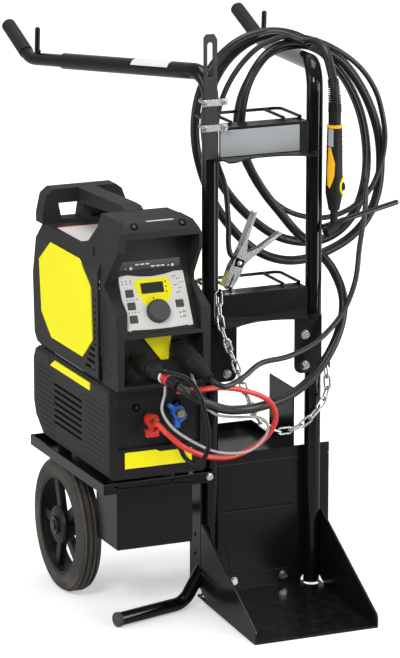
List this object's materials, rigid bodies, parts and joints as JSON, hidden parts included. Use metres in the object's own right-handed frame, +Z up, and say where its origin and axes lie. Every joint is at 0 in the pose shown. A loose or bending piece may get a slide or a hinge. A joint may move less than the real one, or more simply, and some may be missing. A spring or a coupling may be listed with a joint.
{
  "type": "welding set on gas cylinder truck",
  "caption": "Two-wheeled gas cylinder truck carrying a TIG welding power source on its water cooler, with torch, earth clamp, hoses and leads hung behind",
  "frame": {"origin": "On the floor, at the middle of the flat strip along the front edge of the toe plate, midway between the uprights.", "axes": "+X to the right as the cradles are faced, +Y back toward the wheels and handles, +Z up. -Z is the outward normal of the floor face of the toe plate."},
  "size_m": [0.628, 0.9009, 1.066],
  "materials": {
    "gloss_black": "gloss black paint",
    "black_sheet": "satin black powder coat",
    "zinc": "bright zinc plate",
    "axle_steel": "plain turned steel",
    "copper": "copper-plated sheet",
    "shell_plastic": "textured charcoal moulding",
    "dark_plastic": "textured near-black moulding",
    "rim_plastic": "black nylon moulding",
    "tyre_rubber": "solid black rubber",
    "grip_rubber": "matt black grip",
    "grey_cap": "grey ribbed cap",
    "yellow": "plain yellow sheet",
    "pale_panel": "pale printed film",
    "lens": "dark tinted window",
    "knob_grey": "grey moulding",
    "key_grey": "grey keys",
    "brass": "turned brass",
    "red_plastic": "red moulding",
    "blue_plastic": "blue moulding",
    "tank_plastic": "milky blow moulding",
    "pump_cast": "cast housing",
    "trigger_yellow": "yellow button",
    "cable_rubber": "black cable sheath",
    "red_hose_rubber": "red hose",
    "grey_hose_rubber": "grey hose"
  },
  "bodies": {
    "frame": {"left_upright": "gloss_black", "right_upright": "gloss_black", "handle_tubes": "gloss_black", "grips": "grip_rubber", "upper_cradle": "black_sheet", "lower_cradle": "black_sheet", "rear_frames": "gloss_black", "bracket_plates": "black_sheet", "bolts": "zinc", "back_panel": "black_sheet", "toe_plate": "black_sheet", "foot_tube": "gloss_black", "foot_cap": "grey_cap", "shelf": "black_sheet", "under_box": "black_sheet", "side_brackets": "black_sheet", "axle": "axle_steel", "chain": "zinc", "hanger_bar": "zinc", "hanger_clamps": "zinc", "hose_peg": "gloss_black", "cooler_case": "shell_plastic", "cooler_front": "dark_plastic", "labels": "yellow", "coolant_tank": "tank_plastic", "coolant_pump": "pump_cast", "source_case": "shell_plastic", "source_bezel": "dark_plastic", "source_rear": "dark_plastic", "carry_handle": "shell_plastic", "side_panels": "yellow", "power_module": "pump_cast", "control_panel": "pale_panel", "display_lens": "lens", "sockets": "brass", "torch_body": "dark_plastic", "torch_head": "dark_plastic", "torch_plug": "dark_plastic", "return_plug": "dark_plastic", "clamp_fixed_jaw": "zinc", "torch_lead": "cable_rubber", "return_lead": "cable_rubber", "red_hose": "red_hose_rubber", "grey_hose": "grey_hose_rubber", "control_lead": "cable_rubber", "lead_coil": "cable_rubber"},
    "left_wheel": {"left_rim": "rim_plastic", "left_tyre": "tyre_rubber"},
    "right_wheel": {"right_rim": "rim_plastic", "right_tyre": "tyre_rubber"},
    "knob": {"knob": "knob_grey"},
    "button_top": {"button_top": "key_grey"},
    "button_middle": {"button_middle": "key_grey"},
    "button_low": {"button_low": "key_grey"},
    "button_right": {"button_right": "key_grey"},
    "fan": {"fan": "dark_plastic"},
    "torch_button": {"torch_button": "trigger_yellow"},
    "clamp_moving_jaw": {"clamp_moving_jaw": "copper"},
    "red_coupler": {"red_coupler": "red_plastic"},
    "blue_coupler": {"blue_coupler": "blue_plastic"}
  },
  "joints": [
    {"name": "left_wheel_spin", "type": "hinge", "parent": "frame", "child": "left_wheel", "pos_m": [-0.307, 0.431, 0.126], "axis": [1, 0, 0], "continuous": true},
    {"name": "right_wheel_spin", "type": "hinge", "parent": "frame", "child": "right_wheel", "pos_m": [0.106, 0.431, 0.126], "axis": [1, 0, 0], "continuous": true},
    {"name": "knob_turn", "type": "hinge", "parent": "frame", "child": "knob", "pos_m": [-0.236, 0.1624, 0.58737], "axis": [0, -0.8988, 0.4384], "continuous": true},
    {"name": "button_top_press", "type": "slide", "parent": "frame", "child": "button_top", "axis": [0, 0.8988, -0.4384], "range_m": [0, 0.0015], "stiffness_N_per_m": 400},
    {"name": "button_middle_press", "type": "slide", "parent": "frame", "child": "button_middle", "axis": [0, 0.8988, -0.4384], "range_m": [0, 0.0015], "stiffness_N_per_m": 400},
    {"name": "button_low_press", "type": "slide", "parent": "frame", "child": "button_low", "axis": [0, 0.8988, -0.4384], "range_m": [0, 0.0015], "stiffness_N_per_m": 400},
    {"name": "button_right_press", "type": "slide", "parent": "frame", "child": "button_right", "axis": [0, 0.8988, -0.4384], "range_m": [0, 0.0015], "stiffness_N_per_m": 400},
    {"name": "fan_spin", "type": "hinge", "parent": "frame", "child": "fan", "pos_m": [-0.236, 0.52, 0.53], "axis": [0, 1, 0], "continuous": true},
    {"name": "torch_button_press", "type": "slide", "parent": "frame", "child": "torch_button", "axis": [-1, 0, 0], "range_m": [0, 0.0015], "stiffness_N_per_m": 500},
    {"name": "clamp_open", "type": "hinge", "parent": "frame", "child": "clamp_moving_jaw", "pos_m": [-0.03, 0.28, 0.631], "axis": [0, -1, 0], "range_deg": [0, 25], "stiffness_Nm_per_rad": 0.3, "springref_deg": -11.46},
    {"name": "red_coupler_release", "type": "slide", "parent": "frame", "child": "red_coupler", "axis": [0, 1, 0], "range_m": [0, 0.003], "stiffness_N_per_m": 500, "springref_m": -0.002},
    {"name": "blue_coupler_release", "type": "slide", "parent": "frame", "child": "blue_coupler", "axis": [0, 1, 0], "range_m": [0, 0.003], "stiffness_N_per_m": 500, "springref_m": -0.002}
  ]
}
